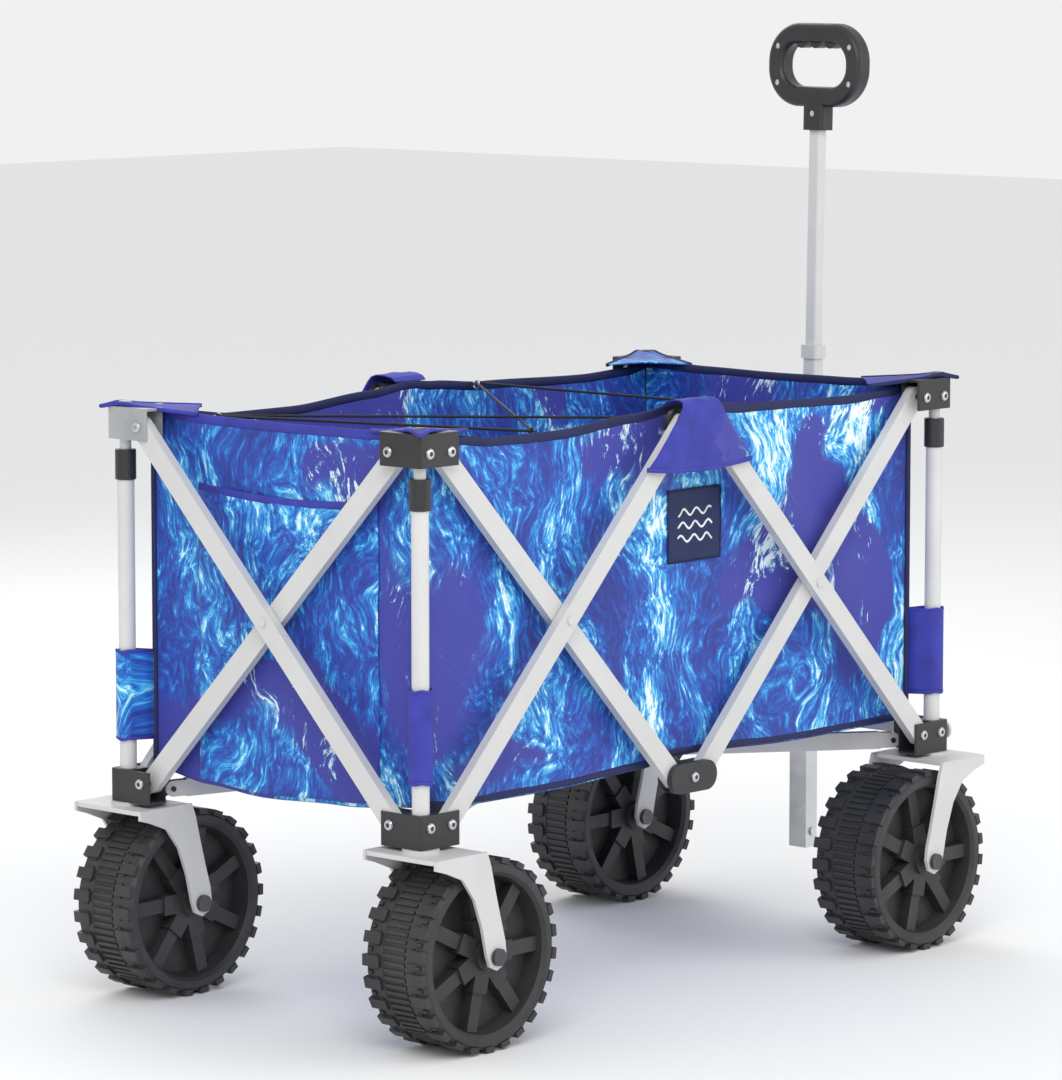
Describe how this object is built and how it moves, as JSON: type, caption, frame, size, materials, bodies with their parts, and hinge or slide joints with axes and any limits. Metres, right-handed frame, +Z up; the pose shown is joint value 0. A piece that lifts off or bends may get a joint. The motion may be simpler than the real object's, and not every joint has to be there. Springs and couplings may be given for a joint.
{
  "type": "beach cart",
  "caption": "Folding fabric cart on four wide wheels, with a scissor frame of square tube, swivelling front casters and a telescoping tow handle.",
  "frame": {"origin": "on the ground, under the middle of the whole cart's box", "axes": "+X towards the tow handle, +Y to the cart's left, +Z up"},
  "size_m": [0.995, 0.568, 1.0769],
  "materials": {
    "print_fabric": "woven polyester, printed",
    "elastic_cord": "braided",
    "wheel_plastic": "moulded, matte",
    "frame_paint": "powder coat, satin",
    "dark_steel": "black oxide",
    "zinc_steel": "zinc plated",
    "grip_plastic": "moulded, satin",
    "bracket_plastic": "glass-filled nylon, satin"
  },
  "bodies": {
    "corner_rear_right": {"corner_bracket_low_rear_right": "bracket_plastic", "corner_post_rear_right": "frame_paint", "wheel_fork_rear_right": "frame_paint", "axle_bolt_rear_right": "dark_steel", "fabric_bag": "print_fabric", "top_cord": "elastic_cord"},
    "corner_rear_left": {"corner_bracket_low_rear_left": "bracket_plastic", "corner_post_rear_left": "frame_paint", "wheel_fork_rear_left": "frame_paint", "axle_bolt_rear_left": "dark_steel"},
    "corner_front_right": {"corner_bracket_low_front_right": "bracket_plastic", "corner_post_front_right": "frame_paint"},
    "corner_front_left": {"corner_bracket_low_front_left": "bracket_plastic", "corner_post_front_left": "frame_paint"},
    "caster_front_right": {"wheel_fork_front_right": "frame_paint", "axle_bolt_front_right": "dark_steel"},
    "caster_front_left": {"wheel_fork_front_left": "frame_paint", "axle_bolt_front_left": "dark_steel"},
    "wheel_rear_right": {"wheel_rear_right": "wheel_plastic"},
    "top_rear_right": {"corner_bracket_top_rear_right": "bracket_plastic"},
    "floor_arm_rear_right": {"floor_arm_rear_right": "frame_paint"},
    "wheel_rear_left": {"wheel_rear_left": "wheel_plastic"},
    "top_rear_left": {"corner_bracket_top_rear_left": "bracket_plastic"},
    "floor_arm_rear_left": {"floor_arm_rear_left": "frame_paint"},
    "wheel_front_right": {"wheel_front_right": "wheel_plastic"},
    "top_front_right": {"corner_bracket_top_front_right": "bracket_plastic"},
    "floor_arm_front_right": {"floor_arm_front_right": "frame_paint"},
    "wheel_front_left": {"wheel_front_left": "wheel_plastic"},
    "top_front_left": {"corner_bracket_top_front_left": "bracket_plastic"},
    "floor_arm_front_left": {"floor_arm_front_left": "frame_paint"},
    "side_bar_outer_rear_right": {"side_bar_outer_rear_right": "frame_paint"},
    "side_bar_inner_rear_right": {"side_bar_inner_rear_right": "frame_paint"},
    "side_bar_inner_front_right": {"side_bar_inner_front_right": "frame_paint"},
    "side_bar_outer_front_right": {"side_bar_outer_front_right": "frame_paint"},
    "side_bar_outer_rear_left": {"side_bar_outer_rear_left": "frame_paint"},
    "side_bar_inner_rear_left": {"side_bar_inner_rear_left": "frame_paint"},
    "side_bar_inner_front_left": {"side_bar_inner_front_left": "frame_paint"},
    "side_bar_outer_front_left": {"side_bar_outer_front_left": "frame_paint"},
    "end_bar_outer_rear": {"end_bar_outer_rear": "frame_paint"},
    "end_bar_inner_rear": {"end_bar_inner_rear": "frame_paint"},
    "end_bar_outer_front": {"end_bar_outer_front": "frame_paint"},
    "end_bar_inner_front": {"end_bar_inner_front": "frame_paint"},
    "mid_low_right": {"mid_connector_low_right": "bracket_plastic"},
    "mid_top_right": {"mid_connector_top_right": "bracket_plastic", "fabric_cap_right": "print_fabric"},
    "tow_link_right": {"tow_link_right": "frame_paint"},
    "mid_low_left": {"mid_connector_low_left": "bracket_plastic"},
    "mid_top_left": {"mid_connector_top_left": "bracket_plastic", "fabric_cap_left": "print_fabric"},
    "tow_link_left": {"tow_link_left": "frame_paint"},
    "floor_hub": {"floor_hub_plate": "frame_paint"},
    "handle_base": {"handle_base_channel": "zinc_steel"},
    "handle_outer": {"handle_pole_outer": "frame_paint"},
    "handle_inner": {"handle_pole_inner": "frame_paint", "handle_grip_shell_rear": "grip_plastic", "handle_grip_shell_front": "grip_plastic", "handle_grip_screws": "zinc_steel"}
  },
  "joints": [
    {"name": "fold", "type": "hinge", "parent": "corner_rear_right", "child": "end_bar_outer_rear", "pos_m": [-0.45249, -0.192, 0.248], "axis": [1, 0, 0], "range_deg": [0, 30], "deforming": ["fabric_bag", "top_cord"]},
    {"name": "rear_end_cross", "type": "hinge", "parent": "end_bar_outer_rear", "child": "end_bar_inner_rear", "pos_m": [-0.45249, 0, 0.4475], "axis": [1, 0, 0], "range_deg": [-60.01, 0]},
    {"name": "rear_left_corner_level", "type": "hinge", "parent": "end_bar_inner_rear", "child": "corner_rear_left", "pos_m": [-0.45249, 0.192, 0.248], "axis": [1, 0, 0], "range_deg": [0, 30.01]},
    {"name": "rear_right_top_level", "type": "hinge", "parent": "end_bar_inner_rear", "child": "top_rear_right", "pos_m": [-0.45249, -0.192, 0.647], "axis": [1, 0, 0], "range_deg": [0, 30.01]},
    {"name": "rear_left_top_level", "type": "hinge", "parent": "end_bar_outer_rear", "child": "top_rear_left", "pos_m": [-0.45249, 0.192, 0.647], "axis": [1, 0, 0], "range_deg": [-30.01, 0]},
    {"name": "side_rear_right_foot", "type": "hinge", "parent": "corner_rear_right", "child": "side_bar_outer_rear_right", "pos_m": [-0.41949, -0.225, 0.248], "axis": [0, -1, 0], "range_deg": [0, 30.01]},
    {"name": "side_rear_right_cross", "type": "hinge", "parent": "side_bar_outer_rear_right", "child": "side_bar_inner_rear_right", "pos_m": [-0.22749, -0.225, 0.4475], "axis": [0, -1, 0], "range_deg": [-60.01, 0]},
    {"name": "mid_low_right_level", "type": "hinge", "parent": "side_bar_inner_rear_right", "child": "mid_low_right", "pos_m": [-0.03549, -0.225, 0.248], "axis": [0, -1, 0], "range_deg": [0, 30.01]},
    {"name": "mid_top_right_level", "type": "hinge", "parent": "side_bar_outer_rear_right", "child": "mid_top_right", "pos_m": [-0.03549, -0.225, 0.647], "axis": [0, -1, 0], "range_deg": [-30.01, 0]},
    {"name": "side_front_right_foot", "type": "hinge", "parent": "mid_low_right", "child": "side_bar_inner_front_right", "pos_m": [0.00851, -0.225, 0.248], "axis": [0, -1, 0], "range_deg": [0, 30.01]},
    {"name": "side_front_right_cross", "type": "hinge", "parent": "side_bar_inner_front_right", "child": "side_bar_outer_front_right", "pos_m": [0.20051, -0.225, 0.4475], "axis": [0, -1, 0], "range_deg": [-60.01, 0]},
    {"name": "front_right_corner_level", "type": "hinge", "parent": "side_bar_outer_front_right", "child": "corner_front_right", "pos_m": [0.39251, -0.225, 0.248], "axis": [0, -1, 0], "range_deg": [0, 30.01]},
    {"name": "front_right_top_level", "type": "hinge", "parent": "side_bar_inner_front_right", "child": "top_front_right", "pos_m": [0.39251, -0.225, 0.647], "axis": [0, -1, 0], "range_deg": [-30.01, 0]},
    {"name": "side_rear_left_foot", "type": "hinge", "parent": "corner_rear_left", "child": "side_bar_outer_rear_left", "pos_m": [-0.41949, 0.225, 0.248], "axis": [0, -1, 0], "range_deg": [0, 30.01]},
    {"name": "side_rear_left_cross", "type": "hinge", "parent": "side_bar_outer_rear_left", "child": "side_bar_inner_rear_left", "pos_m": [-0.22749, 0.225, 0.4475], "axis": [0, -1, 0], "range_deg": [-60.01, 0]},
    {"name": "mid_low_left_level", "type": "hinge", "parent": "side_bar_inner_rear_left", "child": "mid_low_left", "pos_m": [-0.03549, 0.225, 0.248], "axis": [0, -1, 0], "range_deg": [0, 30.01]},
    {"name": "mid_top_left_level", "type": "hinge", "parent": "side_bar_outer_rear_left", "child": "mid_top_left", "pos_m": [-0.03549, 0.225, 0.647], "axis": [0, -1, 0], "range_deg": [-30.01, 0]},
    {"name": "side_front_left_foot", "type": "hinge", "parent": "mid_low_left", "child": "side_bar_inner_front_left", "pos_m": [0.00851, 0.225, 0.248], "axis": [0, -1, 0], "range_deg": [0, 30.01]},
    {"name": "side_front_left_cross", "type": "hinge", "parent": "side_bar_inner_front_left", "child": "side_bar_outer_front_left", "pos_m": [0.20051, 0.225, 0.4475], "axis": [0, -1, 0], "range_deg": [-60.01, 0]},
    {"name": "front_left_corner_level", "type": "hinge", "parent": "side_bar_outer_front_left", "child": "corner_front_left", "pos_m": [0.39251, 0.225, 0.248], "axis": [0, -1, 0], "range_deg": [0, 30.01]},
    {"name": "front_left_top_level", "type": "hinge", "parent": "side_bar_inner_front_left", "child": "top_front_left", "pos_m": [0.39251, 0.225, 0.647], "axis": [0, -1, 0], "range_deg": [-30.01, 0]},
    {"name": "front_end_foot", "type": "hinge", "parent": "corner_front_right", "child": "end_bar_outer_front", "pos_m": [0.42551, -0.192, 0.248], "axis": [1, 0, 0], "range_deg": [0, 30.01]},
    {"name": "front_end_cross", "type": "hinge", "parent": "end_bar_outer_front", "child": "end_bar_inner_front", "pos_m": [0.42551, 0, 0.4475], "axis": [1, 0, 0], "range_deg": [-60.01, 0]},
    {"name": "floor_arm_rear_right_lift", "type": "hinge", "parent": "corner_rear_right", "child": "floor_arm_rear_right", "pos_m": [-0.41849, -0.191, 0.238], "axis": [0.4265, -0.9045, 0], "range_deg": [0, 87.01]},
    {"name": "floor_arm_rear_left_lift", "type": "hinge", "parent": "corner_rear_left", "child": "floor_arm_rear_left", "pos_m": [-0.41849, 0.191, 0.238], "axis": [-0.4265, -0.9045, 0], "range_deg": [0, 87.01]},
    {"name": "floor_arm_front_right_lift", "type": "hinge", "parent": "corner_front_right", "child": "floor_arm_front_right", "pos_m": [0.39151, -0.191, 0.238], "axis": [0.4265, 0.9045, 0], "range_deg": [0, 87.01]},
    {"name": "floor_arm_front_left_lift", "type": "hinge", "parent": "corner_front_left", "child": "floor_arm_front_left", "pos_m": [0.39151, 0.191, 0.238], "axis": [-0.4265, 0.9045, 0], "range_deg": [0, 87.01]},
    {"name": "floor_hub_level", "type": "hinge", "parent": "floor_arm_rear_left", "child": "floor_hub", "pos_m": [-0.06416, 0.02389, 0.25168], "axis": [-0.4265, -0.9045, 0], "range_deg": [-87.01, 0]},
    {"name": "tow_link_right_swing", "type": "hinge", "parent": "corner_front_right", "child": "tow_link_right", "pos_m": [0.44891, -0.225, 0.247], "axis": [1, 0, 0], "range_deg": [0, 63.76]},
    {"name": "tow_link_left_swing", "type": "hinge", "parent": "corner_front_left", "child": "tow_link_left", "pos_m": [0.44431, 0.225, 0.247], "axis": [-1, 0, 0], "range_deg": [0, 63.76]},
    {"name": "handle_base_level", "type": "hinge", "parent": "tow_link_right", "child": "handle_base", "pos_m": [0.44891, 0, 0.247], "axis": [1, 0, 0], "range_deg": [-63.76, 0]},
    {"name": "handle_tilt", "type": "hinge", "parent": "handle_base", "child": "handle_outer", "pos_m": [0.46411, 0, 0.097], "axis": [0, 1, 0], "range_deg": [-1, 68]},
    {"name": "handle_slide", "type": "slide", "parent": "handle_outer", "child": "handle_inner", "axis": [0.0209, 0, 0.9998], "range_m": [-0.25, 0]},
    {"name": "caster_front_right_swivel", "type": "hinge", "parent": "corner_front_right", "child": "caster_front_right", "pos_m": [0.42551, -0.225, 0.222], "axis": [0, 0, -1], "continuous": true},
    {"name": "caster_front_left_swivel", "type": "hinge", "parent": "corner_front_left", "child": "caster_front_left", "pos_m": [0.42551, 0.225, 0.222], "axis": [0, 0, 1], "continuous": true},
    {"name": "wheel_rear_right_spin", "type": "hinge", "parent": "corner_rear_right", "child": "wheel_rear_right", "pos_m": [-0.39149, -0.225, 0.106], "axis": [0, 1, 0], "continuous": true},
    {"name": "wheel_rear_left_spin", "type": "hinge", "parent": "corner_rear_left", "child": "wheel_rear_left", "pos_m": [-0.39149, 0.225, 0.106], "axis": [0, 1, 0], "continuous": true},
    {"name": "wheel_front_right_spin", "type": "hinge", "parent": "caster_front_right", "child": "wheel_front_right", "pos_m": [0.36451, -0.225, 0.106], "axis": [0, 1, 0], "continuous": true},
    {"name": "wheel_front_left_spin", "type": "hinge", "parent": "caster_front_left", "child": "wheel_front_left", "pos_m": [0.36451, 0.225, 0.106], "axis": [0, 1, 0], "continuous": true}
  ],
  "couplings": [
    {"joint": "rear_end_cross", "follows": "fold", "ratio": -2},
    {"joint": "rear_left_corner_level", "follows": "fold", "ratio": 1},
    {"joint": "rear_right_top_level", "follows": "fold", "ratio": 1},
    {"joint": "rear_left_top_level", "follows": "fold", "ratio": -1},
    {"joint": "side_rear_right_foot", "follows": "fold", "ratio": 1},
    {"joint": "side_rear_right_cross", "follows": "fold", "ratio": -2},
    {"joint": "mid_low_right_level", "follows": "fold", "ratio": 1},
    {"joint": "mid_top_right_level", "follows": "fold", "ratio": -1},
    {"joint": "side_front_right_foot", "follows": "fold", "ratio": 1},
    {"joint": "side_front_right_cross", "follows": "fold", "ratio": -2},
    {"joint": "front_right_corner_level", "follows": "fold", "ratio": 1},
    {"joint": "front_right_top_level", "follows": "fold", "ratio": -1},
    {"joint": "side_rear_left_foot", "follows": "fold", "ratio": 1},
    {"joint": "side_rear_left_cross", "follows": "fold", "ratio": -2},
    {"joint": "mid_low_left_level", "follows": "fold", "ratio": 1},
    {"joint": "mid_top_left_level", "follows": "fold", "ratio": -1},
    {"joint": "side_front_left_foot", "follows": "fold", "ratio": 1},
    {"joint": "side_front_left_cross", "follows": "fold", "ratio": -2},
    {"joint": "front_left_corner_level", "follows": "fold", "ratio": 1},
    {"joint": "front_left_top_level", "follows": "fold", "ratio": -1},
    {"joint": "front_end_foot", "follows": "fold", "ratio": 1},
    {"joint": "front_end_cross", "follows": "fold", "ratio": -2},
    {"joint": "floor_arm_rear_right_lift", "follows": "fold", "ratio": 2.9},
    {"joint": "floor_arm_rear_left_lift", "follows": "fold", "ratio": 2.9},
    {"joint": "floor_arm_front_right_lift", "follows": "fold", "ratio": 2.9},
    {"joint": "floor_arm_front_left_lift", "follows": "fold", "ratio": 2.9},
    {"joint": "floor_hub_level", "follows": "fold", "ratio": -2.9},
    {"joint": "tow_link_right_swing", "follows": "fold", "ratio": 2.1249},
    {"joint": "tow_link_left_swing", "follows": "fold", "ratio": 2.1249},
    {"joint": "handle_base_level", "follows": "fold", "ratio": -2.1249}
  ]
}
